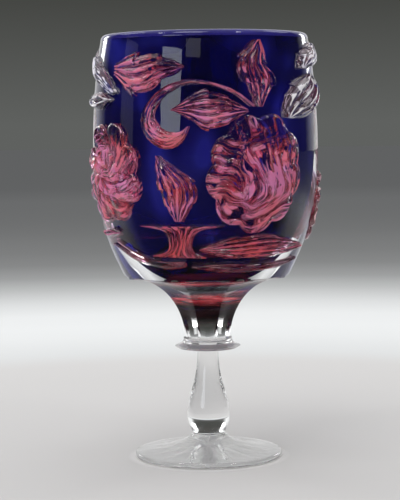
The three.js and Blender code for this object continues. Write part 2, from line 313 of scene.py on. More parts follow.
def hazed_material(name, share, ripple):
    """Crystal with a breath of haze: the ground collar, the ground star and the tooled foot."""
    material, tree = new_material(name)
    grit = noise(tree, 900, 4)
    inputs = {"Height": noise(tree, 330, 1), "Normal": bumped(tree, grit, 0.04, 0.0002),
              "Strength": ripple, "Distance": 0.0012}
    clear = polished(tree, (*WHITE, 1), add(tree, "Bump", inputs).outputs[0])
    bloom = ramp(tree, grit, [(0.3, (0.90, 0.89, 0.88)), (0.7, (1.0, 0.995, 0.985))])
    frost = add(tree, "BsdfDiffuse", {"Color": bloom}).outputs[0]
    return shown(material, mixed_shader(tree, share, clear, frost))


def joined_material():
    """A fused joint inside the glass, where light goes straight on."""
    material, tree = new_material("fused_joint")
    return shown(material, add(tree, "BsdfTransparent", {"Color": (*WHITE, 1)}).outputs[0])


def cobalt_layer_material():
    """The stained layer of the lining: part of the light goes on, deep blue, and part is scattered; painted
    light and painted shade brighten and deepen its patches, and painted shade darkens it towards the bottom.
    """
    material, tree = new_material("cobalt_layer")
    cloud = reckon(tree, "MULTIPLY_ADD", noise(tree, 60, 2, (1, 1, 0.4)), 0.5, 0.205)
    # Painted light and shade from the lining's grain brighten and deepen the blue
    cloud = reckon(tree, "ADD", cloud, split(tree, grain_of(tree))["Z"])
    tint = ramp(tree, cloud, [(0.3, (0.05, 0.05, 0.42)), (0.7, (0.12, 0.13, 0.66))])
    colour = ramp(tree, cloud, [
        (0.36, (0.010, 0.007, 0.08)), (0.50, (0.036, 0.03, 0.28)), (0.64, (0.10, 0.11, 0.92))])
    # Painted shade: darker towards the bottom of the bowl and a little towards the rim
    depth = span(tree, split(tree, place_on(tree))["Z"], *LAYER_Z)
    painted_depth_shade = ramp(tree, depth, [(0.0, (0.16, 0.05, 0.05)), (0.14, (0.25, 0.09, 0.08)), (0.35, WHITE),
                               (0.65, WHITE), (0.9, (0.62, 0.62, 0.66))])
    # Red streaks in the lowest part of the layer
    red_streaks = ramp(tree, noise(tree, 60, 4, (0.5, 0.5, 8.0)), [(0.54, grey(0.0)), (0.68, (0.32, 0.025, 0.035))])
    low = ramp(tree, depth, [(0.0, grey(1.0)), (0.22, grey(0.0))])
    colour = blend(tree, "ADD", blend(tree, "MULTIPLY", colour, painted_depth_shade), blend(tree, "MULTIPLY", red_streaks, low))
    through = add(tree, "BsdfTransparent", {"Color": tint}).outputs[0]
    back = add(tree, "BsdfDiffuse", {"Color": colour}).outputs[0]
    on = add(tree, "BsdfTranslucent", {"Color": colour}).outputs[0]
    return shown(material, mixed_shader(tree, 0.6, through, mixed_shader(tree, 0.5, back, on)))


def cobalt_material():
    """The polished inner face of the lining."""
    material, tree = new_material("cobalt_face")
    tint = ramp(tree, noise(tree, 45), [(0.3, (0.42, 0.44, 0.95)), (0.7, (0.58, 0.60, 0.99))])
    return shown(material, polished(tree, tint, bumped(tree, noise(tree, 120, 2), 0.05, 0.0004)))


def lip_material():
    """The turned lip of the lining, where the blue is deepest to look at and lit from above."""
    material, tree = new_material("cobalt_lip")
    tint = ramp(tree, noise(tree, 70), [(0.3, (0.020, 0.014, 0.17)), (0.7, (0.05, 0.04, 0.33))])
    wave = bumped(tree, noise(tree, 120, 2), 0.05, 0.0004)
    return shown(material, polished(tree, tint, wave, 0.02, 0.45))


def streaks(tree):
    """How ruby the glass is: the motif's tone, streaks and facets along its cuts, and slow clouds."""
    grain = grain_of(tree)
    broad = grain_noise(tree, grain, (0.15, 0.36, 0), 2.0, 0.35)
    hair = grain_noise(tree, grain, (0.30, 1.30, 0), 1.0, 0.6)
    bent = add(tree, "Mapping", {"Vector": grain, "Scale": (0.30, 0.75, 0)}).outputs[0]
    cells = add(tree, "TexVoronoi", {"Vector": bent, "Scale": 1.0, "Randomness": 1.0}).outputs["Color"]
    facets = split(tree, cells)["X"]
    clouds = noise(tree, 95, 2)
    level = split(tree, grain)["Z"]
    parts = ((broad, 1.5, -0.75), (facets, 0.9, -0.45), (hair, 2.2, -0.93), (clouds, 1.2, -0.60))
    for part, swing, offset in parts:
        level = reckon(tree, "ADD", level, reckon(tree, "MULTIPLY_ADD", part, swing, offset))
    return level


def hues(tree, turn):
    """How the ruby drifts from one hue to another through the glass."""
    return ramp(tree, noise(tree, 120, 2), [(0.40, turn[0]), (0.60, turn[1])])


def carved_material(name, groove, crest, satin, share, rough, turn=CORAL_TO_VIOLET):
    """The carved face of a motif: clear, faintly tinted glass with a satin bloom on its pale streaks."""
    material, tree = new_material(name)
    level = streaks(tree)
    tint = ramp(tree, level, [(0.1, groove), (0.7, crest)])
    clear = polished(tree, tint, bumped(tree, noise(tree, 700, 3), 0.10, 0.0002), rough)
    colour = blend(tree, "MULTIPLY", hues(tree, turn), (*satin, 1))
    bloom = add(tree, "BsdfDiffuse", {"Color": colour}).outputs[0]
    covered = ramp(tree, level, [(0.60, grey(0.0)), (1.0, grey(share))])
    return shown(material, mixed_shader(tree, covered, clear, bloom))


def bed_material(name, colours, darker, cover, turn=CORAL_TO_VIOLET):
    """The ruby bed under a motif: streaks of pink glass with the dark ground showing between them."""
    material, tree = new_material(name)
    level = streaks(tree)
    colour = ramp(tree, level, list(zip(BED_LEVELS, colours)))
    veil = ramp(tree, noise(tree, 70, 2, (1, 1, 0.6)), [(0.52, grey(0.0)), (0.68, grey(0.55))])
    colour = mixed_colour(tree, veil, colour, (*darker, 1))
    colour = blend(tree, "MULTIPLY", colour, hues(tree, turn))
    covered = ramp(tree, level, [(0.0, grey(0.08)), (0.12, grey(cover[0])), (0.34, grey(cover[1]))])
    through = add(tree, "BsdfTransparent", {"Color": (0.85, 0.70, 0.90, 1)}).outputs[0]
    back = add(tree, "BsdfDiffuse", {"Color": colour}).outputs[0]
    crinkle = bumped(tree, level, 0.8, 0.0014)
    sheen = add(tree, "BsdfAnisotropic", {"Color": colour, "Normal": crinkle, "Roughness": 0.22}).outputs[0]
    return shown(material, mixed_shader(tree, covered, through, mixed_shader(tree, 0.75, back, sheen)))


CRYSTAL = crystal_material()
JOINED = joined_material()
GROUND = hazed_material("ground_crystal", 0.40, 0.5)
COLLAR = hazed_material("collar_crystal", 0.25, 0.0)
TOOLED = hazed_material("tooled_crystal", 0.04, 0.22)
COBALT = cobalt_material()
COBALT_LAYER = cobalt_layer_material()
COBALT_LIP = lip_material()

# The ruby of the overlay: each motif has a carved top, a fused underside and a bed inside the crystal
RICH = [
    carved_material("ruby_carved", (1.0, 0.70, 0.80), (1.0, 0.93, 0.95), (1.0, 0.30, 0.49), 0.50, 0.01),
    JOINED,
    bed_material("ruby_bed", [(0.32, 0.095, 0.12), (0.55, 0.090, 0.18), (1.0, 0.19, 0.36), (1.0, 0.50, 0.66)],
                 (0.34, 0.12, 0.14), (0.72, 0.96))]
DARK = [
    carved_material("ruby_deep_carved", (0.9, 0.55, 0.60), (1.0, 0.85, 0.88), (0.75, 0.14, 0.18), 0.12, 0.01),
    JOINED,
    bed_material("ruby_deep_bed",
                 [(0.02, 0.003, 0.01), (0.08, 0.008, 0.015), (0.40, 0.03, 0.05), (0.85, 0.16, 0.20)],
                 (0.06, 0.02, 0.02), (0.9, 0.98))]
LOW = [
    carved_material("ruby_low_carved", (1.0, 0.60, 0.64), (1.0, 0.88, 0.90), (1.0, 0.19, 0.27), 0.46, 0.01),
    JOINED,
    bed_material("ruby_low_bed",
                 [(0.02, 0.002, 0.012), (0.22, 0.012, 0.05), (1.0, 0.15, 0.21), (1.0, 0.40, 0.45)],
                 (0.16, 0.02, 0.05), (0.50, 0.98))]
# Edge motifs: the ruby is cut away to clear glass, and the white satin and white bed are painted reflection
# of the bright surroundings seen at the sides
WORN_WITH_PAINTED_SHEEN = [
    carved_material("ruby_worn_painted_sheen_carved", (0.75, 0.70, 0.72), WHITE, (1.0, 0.99, 0.99), 0.75, 0.0, PAINTED_SILVER_SHEEN),
    JOINED,
    bed_material("ruby_worn_painted_sheen_bed", [(0.01, 0.01, 0.01), (0.20, 0.18, 0.19), (1.0, 0.97, 0.98), WHITE],
                 (0.20, 0.17, 0.18), (0.25, 0.80), PAINTED_SILVER_SHEEN)]


# Pieces: main surface first, fused joint second, any other surface third; the lining has its own order
TOP, JOINT, THIRD = 0, 1, 2


def make_piece(node, points, faces, materials, index, sharp, grain=None):
    """One piece in the frame, in place of the solid of the same name."""
    mesh = bpy.data.meshes.new(node + "_glass")
    mesh.from_pydata((np.asarray(points) * MM).tolist(), [], [tuple(int(i) for i in f) for f in faces])
    for material in materials:
        mesh.materials.append(material)
    mesh.polygons.foreach_set("material_index", np.asarray(index, np.int32))
    mesh.polygons.foreach_set("use_smooth", np.ones(len(faces), bool))
    if grain is not None:
        attribute = mesh.attributes.new("grain", "FLOAT_VECTOR", "POINT")
        attribute.data.foreach_set("vector", grain.astype(np.float32).ravel())
    mesh.update()
    mesh.set_sharp_from_angle(angle=math.radians(sharp))
    piece = bpy.data.objects.new(node + "_glass", mesh)
    bpy.context.scene.collection.objects.link(piece)
    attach(piece, "root")
    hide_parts(node)


def revolve(node, profile, materials, band, around, shape=None, cell=None, sharp=30, grain=None):
    """A turned piece. band names the material between two rows, shape moves points, cell marks joints."""
    angle = np.arange(around) * 2 * np.pi / around
    points, rings = [], []
    for row, (r, z) in enumerate(profile):
        if r < 1e-6:
            rings.append([len(points)])
            points.append((0.0, 0.0, z))
            continue
        radius, height = np.full(around, r), np.full(around, z)
        if shape is not None:
            radius, height = shape(row, radius, height, angle)
        rings.append(list(range(len(points), len(points) + around)))
        points.extend(np.stack([radius * np.sin(angle), -radius * np.cos(angle), height], 1).tolist())
    faces, index = [], []
    for i in range(len(profile) - 1):
        a, b = rings[i], rings[i + 1]
        for j in range(around):
            k = (j + 1) % around
            if len(a) == 1:
                faces.append((a[0], b[k], b[j]))
            elif len(b) == 1:
                faces.append((a[j], a[k], b[0]))
            else:
                faces.append((a[j], a[k], b[k], b[j]))
            index.append(JOINT if cell is not None and cell(i, j) else band[i])
    grained = None if grain is None else grain(np.array(points))
    make_piece(node, points, faces, materials, index, sharp, grained)


# Ornament: a place is degrees from the front and a share of the bowl's height above its ledge.
# A grid is steps along and across, or in a blossom steps round each petal and steps outwards
LEAF_GRID = (110, 64)
SCROLL_GRID = (150, 40)
STALK_GRID = (70, 40)
FLOWER_GRID = (30, 60)
ROSE_GRID = (32, 72)
FOOTPRINTS = []


def on_sheet(degrees, share):
    return np.array([math.radians(degrees) * BELLY_RADIUS, share * BOWL_HEIGHT])


def on_wall(sheet, height):
    a = sheet[..., 0] / BELLY_RADIUS
    z = LEDGE_Z + sheet[..., 1]
    r = wall_radius(z) + height
    return np.stack([r * np.sin(a), -r * np.cos(a), z], -1)


def line_through(places, steps):
    """A smooth line through places, in steps of about equal length."""
    p = np.array([on_sheet(*place) for place in places])
    q = np.vstack([2 * p[0] - p[1], p, 2 * p[-1] - p[-2]])
    u = np.linspace(0, len(p) - 1, 400)
    i = np.minimum(u.astype(int), len(p) - 2)
    t = (u - i)[:, None]
    a, b, c, d = q[i], q[i + 1], q[i + 2], q[i + 3]
    square, cube = 2 * a - 5 * b + 4 * c - d, 3 * b - a - 3 * c + d
    fine = 0.5 * (2 * b + (c - a) * t + square * t ** 2 + cube * t ** 3)
    run = np.concatenate([[0], np.cumsum(np.linalg.norm(np.diff(fine, axis=0), axis=1))])
    even = np.linspace(0, run[-1], steps + 1)
    return np.stack([np.interp(even, run, fine[:, 0]), np.interp(even, run, fine[:, 1])], 1)


def ridge(x):
    return 0.5 + 0.5 * np.cos(2 * np.pi * x)


def swell(u, early=1.0):
    return np.sin(np.pi * np.clip(u, 0, 1) ** early)


def smooth(low, high, x):
    """Zero below low, one above high, with a soft step between; low may be above high."""
    t = np.clip((x - low) / (high - low), 0, 1)
    return t * t * (3 - 2 * t)


def carve(node, spot, relief, grain, materials):
    """A motif on a grid of sheet places, with its relief and grain."""
    rows, columns = spot.shape[0], spot.shape[1]
    grid = np.arange(rows * columns).reshape(rows, columns)
    cells = np.stack([grid[:-1, :-1], grid[1:, :-1], grid[1:, 1:], grid[:-1, 1:]], -1).reshape(-1, 4)
    loop = np.concatenate([grid[:-1, 0], grid[-1, :-1], grid[:0:-1, -1], grid[0, :0:-1]])
    flat, height = spot.reshape(-1, 2), relief.ravel()
    build_motif(node, flat, height, grain.reshape(-1, 3), cells, loop, materials)


def build_motif(node, flat, height, grain, cells, loop, materials):
    """The body between the carved top and the ground, faces out, and its bed inside the crystal."""
    count = len(flat)
    after = np.roll(loop, -1)
    sides = np.stack([loop, loop + count, after + count, after], 1)
    top = on_wall(flat, SKIN + RELIEF * height)
    under = on_wall(flat, np.full(count, SKIN))
    bed = on_wall(flat, np.full(count, -BED_DEPTH))
    points = np.vstack([top, under, bed])
    faces = np.vstack([cells, cells[:, ::-1] + count, sides])
    corners = [points[faces[:, k]] for k in range(4)]
    volume = np.einsum("ij,ij->", corners[0], np.cross(corners[1], corners[2]))
    volume += np.einsum("ij,ij->", corners[0], np.cross(corners[2], corners[3]))
    sheet = cells + 2 * count
    if volume < 0:
        faces, sheet = faces[:, ::-1], sheet[:, ::-1]
    faces = [tuple(dict.fromkeys(f)) for f in np.vstack([faces, sheet]).tolist()]
    index = [TOP] * len(cells) + [JOINT] * len(cells) + [TOP] * len(sides) + [THIRD] * len(sheet)
    FOOTPRINTS.append(flat[loop])
    make_piece(node, points, faces, materials, index, 40, np.tile(grain, (3, 1)))


def between(edge_a, edge_b, along, across):
    """A grid of sheet places between two edge lines, its shares along and across, and its lengths."""
    a, b = line_through(edge_a, along), line_through(edge_b, along)
    t = np.linspace(0, 1, across + 1)
    spot = a[:, None, :] * (1 - t)[None, :, None] + b[:, None, :] * t[None, :, None]
    u, t = np.meshgrid(np.linspace(0, 1, along + 1), t, indexing="ij")
    length = np.linalg.norm(np.diff((a + b) / 2, axis=0), axis=1).sum()
    width = np.linalg.norm(a - b, axis=1).max()
    return spot, u, t, u * length + 7 * edge_a[0][0], t * width


def leaf(node, edge_a, edge_b, veins, materials, lobes=4, cut=0.13, light=0.0, dusk=(0.0, 0.0, 0.0)):
    """A veined leaf between two edge lines from base to tip. dusk is a smoky place: along, across, depth."""
    spot, u, t, along, across = between(edge_a, edge_b, *LEAF_GRID)
    middle = spot.mean(1, keepdims=True)
    notch = 1 - cut * ((u * lobes) % 1) * np.abs(2 * t - 1)
    spot = middle + (spot - middle) * notch[..., None]
    edge = np.minimum(t, 1 - t) * 2
    dome = np.minimum(1, edge * 2.6) ** 0.6
    vein = ridge(t * veins + 0.35 * np.sin(4 * u + 3 * t))
    rib = np.exp(-((t - 0.5) / 0.035) ** 2)
    height = 0.30 + dome * (0.50 + 0.25 * swell(u, 0.8)) - 0.30 * (1 - vein) * dome - 0.18 * rib
    frayed = edge + 0.16 * np.sin(23 * u + 9 * t) + 0.14 * np.sin(41 * u - 13 * t + 1)
    fade = smooth(0.0, 0.42, frayed)
    tone = light - 0.02 + 0.55 * vein + 0.45 * vein ** 3 - 0.40 * rib - 0.95 * (1 - fade)
    tone = tone + 0.12 * np.sin(7 * u + 5 * t)
    tone = tone - dusk[2] * np.exp(-((u - dusk[0]) / 0.30) ** 2 - ((t - dusk[1]) / 0.36) ** 2)
    carve(node, spot, np.maximum(height, 0.22), np.stack([along, across, tone], -1), materials)


def scroll(node, outer, inner, materials):
    """A curling stem: a steep inner side, a rounded crown and a long bevel outside."""
    spot, u, t, along, across = between(outer, inner, *SCROLL_GRID)
    crown = np.minimum(t / 0.45, 1) ** 0.8 * np.minimum((1 - t) / 0.08, 1) ** 0.5
    height = 0.12 + 0.62 * crown - 0.05 * (1 - ridge(t * 4 + u * 2)) * crown
    tone = 0.9 * crown - 0.35 * (1 - ridge(t * 5 + 2 * np.sin(4 * u)))
    tone = tone - 0.55 * np.exp(-((u - 0.55) / 0.14) ** 2) + 0.15 * smooth(0.7, 0.9, u)
    carve(node, spot, height, np.stack([along, across, tone], -1), materials)


def stalk(node, edge_a, edge_b, materials):
    """A ridged stalk between two edge lines."""
    spot, u, t, along, across = between(edge_a, edge_b, *STALK_GRID)
    crown = np.minimum(1, np.minimum(t, 1 - t) * 8) ** 0.5
    height = 0.2 + 0.5 * crown - 0.1 * (1 - ridge(t * 6 + 0.4 * np.sin(6 * u)))
    tone = 0.42 + 0.50 * ridge(t * 6 + 0.5 * np.sin(7 * u)) ** 3 - 0.3 * (1 - crown)
    tone = tone + 0.2 * np.sin(9 * u + 4 * t)
    carve(node, spot, height, np.stack([along, across, tone], -1), materials)


def polar_grid(petals, around, out):
    """Radius and angle of a blossom's grid, and the place across a petal."""
    steps = np.arange(around + 1) * 2 * np.pi / around
    rho, theta = np.meshgrid(np.linspace(0, 1, out + 1), steps, indexing="ij")
    return rho, theta, (theta * petals / (2 * np.pi)) % 1 - 0.5


def petal_ring(rho, theta, petals, turn, inner, outer, low, high):
    """One ring of cupped petals: its height, below zero outside the ring, and its striped tone."""
    across = (theta * petals / (2 * np.pi) + turn) % 1 - 0.5
    rim = outer * (1 - 0.5 * across ** 2)
    s = np.clip((rho - inner) / (rim - inner), 0, 1)
    inside = (rho >= inner) & (rho <= rim)
    stripe = ridge(across * 2 + 0.35 * np.sin(7 * rho + petals))
    height = lerp(low, high, s ** 0.8) * (1 - 0.9 * across ** 2) - 0.16 * (1 - stripe)
    height *= np.minimum(1, (rim - rho) / (0.05 * outer) * 0.5 + 0.5)
    gap = np.exp(-((np.abs(across) - 0.5) / 0.06) ** 2)
    tone = 0.26 + 0.60 * stripe * (0.35 + 0.65 * s) + 0.3 * s ** 3 - 0.5 * gap
    return np.where(inside, height, -1), np.where(inside, tone, 0)


def flower(node, centre, radius, petals, materials):
    """A blossom of two rings of petals round a button, on a polar grid."""
    around, out = petals * FLOWER_GRID[0], FLOWER_GRID[1]
    rho, theta, across = polar_grid(petals, around, out)
    uneven = 1 + 0.05 * np.sin(2 * theta + 1) + 0.03 * np.cos(3 * theta)
    reach = radius * (1 - 0.45 * rho ** 3 * across ** 2) * uneven
    spot = np.stack([rho * np.sin(theta) * reach, rho * np.cos(theta) * reach], -1) + on_sheet(*centre)
    height, tone = np.full(rho.shape, 0.25), np.full(rho.shape, 0.1)
    rings = ((petals, 0.0, 0.24, 1.02, 0.45, 0.80), (petals - 3, 0.3, 0.08, 0.46, 0.60, 1.05))
    for count, turn, inner, outer, low, high in rings:
        h, c = petal_ring(rho, theta, count, turn, inner, outer, low, high)
        higher = h > height
        height, tone = np.where(higher, h, height), np.where(higher, c, tone)
    button = rho < 0.1
    height = np.where(button, 1.15 - 12 * rho ** 2, height)
    smoky = 0.5 + 0.9 * smooth(-0.1, 0.7, np.cos(theta - 0.5))
    tone = np.where(button, 0.8, tone) + 0.08 - smoky * smooth(0.60, 0.95, rho + 0.05 * np.sin(5 * theta))
    grain = np.stack([0.7 * rho * radius + 9 * centre[0], theta * radius * (0.20 + 0.45 * rho), tone], -1)
    weld_polar(node, spot, height, grain, around, out, materials)


# Lighter and deeper places of the rose: place in shares of its radius, size and change of tone
ROSE_CLOUDS = (
    (0.36, -0.02, 0.24, 0.40), (0.32, 0.83, 0.14, 0.35), (0.0, 0.78, 0.12, 0.30), (-0.66, 0.50, 0.18, 0.25),
    (-0.45, 0.22, 0.17, -0.50), (0.30, 0.52, 0.20, -0.40), (-0.62, 0.82, 0.14, -0.30),
    (0.82, -0.66, 0.18, -0.45), (-0.15, 0.62, 0.14, -0.35))
# Spots cut through the rose to the blue: place in shares of its radius, and size
ROSE_SPOTS = (
    (-0.72, -0.55, 0.09), (-0.36, -0.64, 0.12), (-0.06, -0.78, 0.13), (-0.84, -0.24, 0.07),
    (0.13, -0.28, 0.09), (0.80, 0.05, 0.10), (0.66, 0.38, 0.09), (-0.30, 0.72, 0.08))


def rose_folds(x, y, rho):
    """The rose's groups of petals: share at each point, phase of the folds, run along, height and light."""
    round_left = np.hypot(x + 0.55, y + 0.05)
    round_top = np.hypot(x + 0.15, y - 0.75)
    return (
        (smooth(-0.25, -0.45, x) * smooth(-0.50, -0.38, y) * smooth(0.62, 0.48, y),
         y / 0.17 + 0.3 * np.sin(4 * x + 2), x, 0.62, 0.80),
        (smooth(-0.45, -0.05, x) * smooth(0.80, 0.70, x) * smooth(-0.75, -0.45, y) * smooth(0.75, 0.5, y),
         round_left / 0.19 + 0.25 * np.sin(5 * y), y, 0.95, 0.86),
        (smooth(-0.40, -0.55, y), round_top / 0.20 + 0.2 * np.sin(3 * x), x, 0.60, 0.84),
        (smooth(0.45, 0.62, y), x / 0.24 + 0.6 * y, y, 0.75, 0.66),
        (smooth(0.72, 0.84, x), rho / 0.16, y, 0.50, 0.80),
    )


def rose(node, centre, radius, petals, materials):
    """A full-blown rose seen from one side: folded petals, a long cupped one and a skirt with spots."""
    around, out = petals * ROSE_GRID[0], ROSE_GRID[1]
    rho, theta, across = polar_grid(petals, around, out)
    reach = radius * (1 - 0.45 * rho ** 3 * across ** 2) * (1 + 0.05 * np.sin(2 * theta + 1))
    x, y = rho * np.sin(theta), rho * np.cos(theta)
    spot = np.stack([x * reach, y * reach], -1) + on_sheet(*centre)
    bent_x = x + 0.05 * np.sin(6 * y + 1) + 0.025 * np.sin(13 * x + 7 * y)
    bent_y = y + 0.05 * np.sin(5 * x + 2) + 0.02 * np.sin(15 * x - 6 * y)
    x, y = bent_x, bent_y
    weight, height, tone = np.full(rho.shape, 0.02), np.full(rho.shape, 0.01), np.full(rho.shape, 0.006)
    along, sideways = np.zeros(rho.shape), np.zeros(rho.shape)
    for share, phase, run, raised, light in rose_folds(x, y, rho):
        fold, wrinkle = ridge(phase), ridge(phase * 2.6 + 0.8 * run)
        weight += share
        height += share * (raised - 0.28 * (1 - fold) - 0.08 * (1 - wrinkle))
        tone += share * (light + 0.10 - 0.70 * (1 - fold ** 1.6) - 0.36 * (1 - wrinkle))
        along += share * run
        sideways += share * phase * 0.18
    height, tone = height / weight, tone / weight
    for px, py, size, change in ROSE_CLOUDS:
        tone = tone + change * np.exp(-((x - px) ** 2 + (y - py) ** 2) / size ** 2)
    for sx, sy, size in ROSE_SPOTS:
        cut = smooth(1.0, 0.6, np.hypot(x - sx, (y - sy) * 1.25) / size)
        tone = lerp(tone, -0.8, cut)
        height = lerp(height, 0.35, cut)
    edge = smooth(1.0, 0.93, rho)
    height = lerp(0.22, height, edge)
    tone = tone + 0.12 * smooth(0.0, -0.5, y) - 0.30 * smooth(0.1, 0.7, y)
    frayed = smooth(0.80, 0.98, rho + 0.06 * np.sin(7 * theta))
    tone = tone - 0.6 * frayed * smooth(0.75, 0.45, x) * smooth(-0.50, -0.10, y)
    grain = np.stack([along / weight * radius + 9 * centre[0], sideways / weight * radius, tone], -1)
    weld_polar(node, spot, height, grain, around, out, materials)


def weld_polar(node, spot, height, grain, around, out, materials):
    """Closes a polar grid at its middle and round its seam."""
    flat = np.vstack([spot[:1, 0], spot[1:, :-1].reshape(-1, 2)])
    raised = np.concatenate([height[:1, 0], height[1:, :-1].ravel()])
    grained = np.vstack([grain[:1, 0], grain[1:, :-1].reshape(-1, 3)])
    ring = 1 + np.arange(out * around).reshape(out, around)
    right = np.roll(ring, -1, axis=1)
    middle = np.zeros((1, around), int)
    near, near_right = np.vstack([middle, ring[:-1]]), np.vstack([middle, right[:-1]])
    cells = np.stack([near, ring, right, near_right], -1).reshape(-1, 4)
    build_motif(node, flat, raised, grained, cells, ring[-1], materials)


def spray(side, turn):
    """The upper motifs of one side, turned round the axis by degrees."""
    def to(*places):
        return [(degrees + turn, share) for degrees, share in places]

    rose("rose_" + side, to((26.5, 0.435))[0], 15.6, 9, RICH)
    leaf("upright_leaf_" + side,
         to((26, 0.694), (23, 0.732), (19, 0.787), (14, 0.843), (16, 0.894), (23, 0.942), (27, 0.957)),
         to((28, 0.694), (32, 0.735), (37, 0.775), (38, 0.819), (33, 0.859), (32, 0.915), (29, 0.957)),
         5, RICH, lobes=3, cut=0.3, light=0.20, dusk=(0.70, 0.30, 0.75))
    leaf("level_leaf_" + side,
         to((20, 0.687), (15, 0.714), (8, 0.748), (0, 0.768), (-6, 0.752), (-11, 0.720), (-16.5, 0.687)),
         to((20.5, 0.672), (15, 0.645), (8, 0.615), (0, 0.600), (-6, 0.634), (-11, 0.660),
            (-16.5, 0.683)), 6, RICH, light=0.10, dusk=(0.50, 0.0, 0.90))
    scroll("upper_scroll_" + side,
           to((24, 0.704), (13, 0.766), (-5, 0.804), (-21, 0.774), (-32, 0.686), (-32, 0.606), (-25, 0.546),
              (-17, 0.533), (-11, 0.566), (-8, 0.618)),
           to((23, 0.694), (12.5, 0.752), (-5, 0.787), (-18.5, 0.754), (-26, 0.683), (-25, 0.638),
              (-20, 0.606), (-15.5, 0.598), (-11.5, 0.603), (-8.5, 0.620)), RICH)
    leaf("left_bud_" + side,
         to((-11, 0.857), (-16, 0.885), (-23, 0.905), (-32, 0.917), (-42, 0.910), (-50, 0.880)),
         to((-11, 0.850), (-15, 0.824), (-22, 0.796), (-29, 0.752), (-38, 0.740), (-50, 0.815)),
         5, RICH, lobes=3, cut=0.25, light=0.16, dusk=(0.20, 0.20, 0.95))
    leaf("lower_leaf_" + side,
         to((-16, 0.246), (-20, 0.293), (-23, 0.349), (-25, 0.404), (-25, 0.460), (-24, 0.507)),
         to((-12, 0.246), (-8, 0.290), (-4, 0.345), (-5, 0.403), (-13, 0.455), (-23.5, 0.507)),
         6, RICH, light=0.22, dusk=(0.78, 0.80, 0.95))
    leaf("right_bud_" + side,
         to((42, 0.652), (41, 0.700), (45, 0.765), (53, 0.810), (64, 0.828)),
         to((46, 0.646), (58, 0.650), (72, 0.683), (80, 0.750), (66, 0.826)), 5, WORN_WITH_PAINTED_SHEEN, lobes=2)
    leaf("rim_leaf_" + side,
         to((57, 0.848), (56, 0.878), (60, 0.918), (72, 0.955)),
         to((61, 0.846), (72, 0.858), (84, 0.892), (78, 0.950)), 5, WORN_WITH_PAINTED_SHEEN, lobes=3)
    leaf("side_leaf_" + side,
         to((-50, 0.762), (-57, 0.815), (-66, 0.866), (-76, 0.910)),
         to((-52, 0.748), (-61, 0.785), (-74, 0.830), (-81, 0.895)), 5, WORN_WITH_PAINTED_SHEEN, lobes=3)
    leaf("drop_" + side,
         to((-55, 0.735), (-63, 0.762), (-73, 0.760), (-80, 0.735)),
         to((-55, 0.725), (-63, 0.690), (-73, 0.697), (-80, 0.728)), 3, WORN_WITH_PAINTED_SHEEN, lobes=1)


spray("front", 0)
spray("back", 180)
stalk("low_stalk_front",
      [(-37, 0.226), (-24, 0.208), (-21, 0.166), (-23, 0.124), (-34, 0.104)],
      [(10, 0.226), (-4, 0.208), (-8, 0.166), (-7, 0.124), (0, 0.098)], LOW)
scroll("low_scroll_front",
       [(-62, 0.146), (-51, 0.092), (-38, 0.064), (-25, 0.052), (-13, 0.060)],
       [(-59, 0.152), (-48, 0.122), (-37, 0.094), (-25, 0.082), (-13, 0.082)], DARK)
leaf("base_leaf_front",
     [(63, 0.087), (43, 0.073), (25, 0.068), (9, 0.072), (-9, 0.066)],
     [(64, 0.070), (46, 0.043), (26, 0.034), (9, 0.038), (-9, 0.054)], 3, DARK, lobes=2)
leaf("low_leaf_front",
     [(62, 0.145), (45, 0.175), (30, 0.190), (18, 0.183), (6, 0.165), (-4, 0.136)],
     [(66, 0.124), (52, 0.102), (36, 0.093), (20, 0.090), (7, 0.101), (-4, 0.123)],
     6, LOW, lobes=3, light=0.20, dusk=(0.55, 0.0, 0.6))
flower("flower_left", (-57, 0.435), 13.4, 8, RICH)
flower("flower_right", (102, 0.28), 10.0, 8, DARK)
leaf("drop_under_flower_left",
     [(-55, 0.196), (-61, 0.212), (-70, 0.200)],
     [(-55, 0.190), (-63, 0.174), (-70, 0.188)], 3, RICH, lobes=1)


# The crystal bowl with its fluted neck
def under_motifs(heights):
    """True where a point of the ground grid lies under a motif."""
    turns = np.arange(AROUND) * 2 * np.pi / AROUND
    x, y = np.meshgrid(turns * BELLY_RADIUS, heights - LEDGE_Z, indexing="ij")
    hidden = np.zeros(x.shape, bool)
    for outline in FOOTPRINTS:
        for shift in (-1, 0, 1):
            p = outline + np.array([shift * 2 * np.pi * BELLY_RADIUS, 0])
            low, high = p.min(0), p.max(0)
            near = (x >= low[0]) & (x <= high[0]) & (y >= low[1]) & (y <= high[1])
            if not near.any():
                continue
            px, py = x[near], y[near]
            odd = np.zeros(px.shape, bool)
            for (x0, y0), (x1, y1) in zip(p, np.roll(p, -1, 0)):
                if y0 != y1:
                    crossed = ((y0 <= py) & (py < y1)) | ((y1 <= py) & (py < y0))
                    odd ^= crossed & (px < x0 + (py - y0) * (x1 - x0) / (y1 - y0))
            hidden[near] |= odd
    return hidden


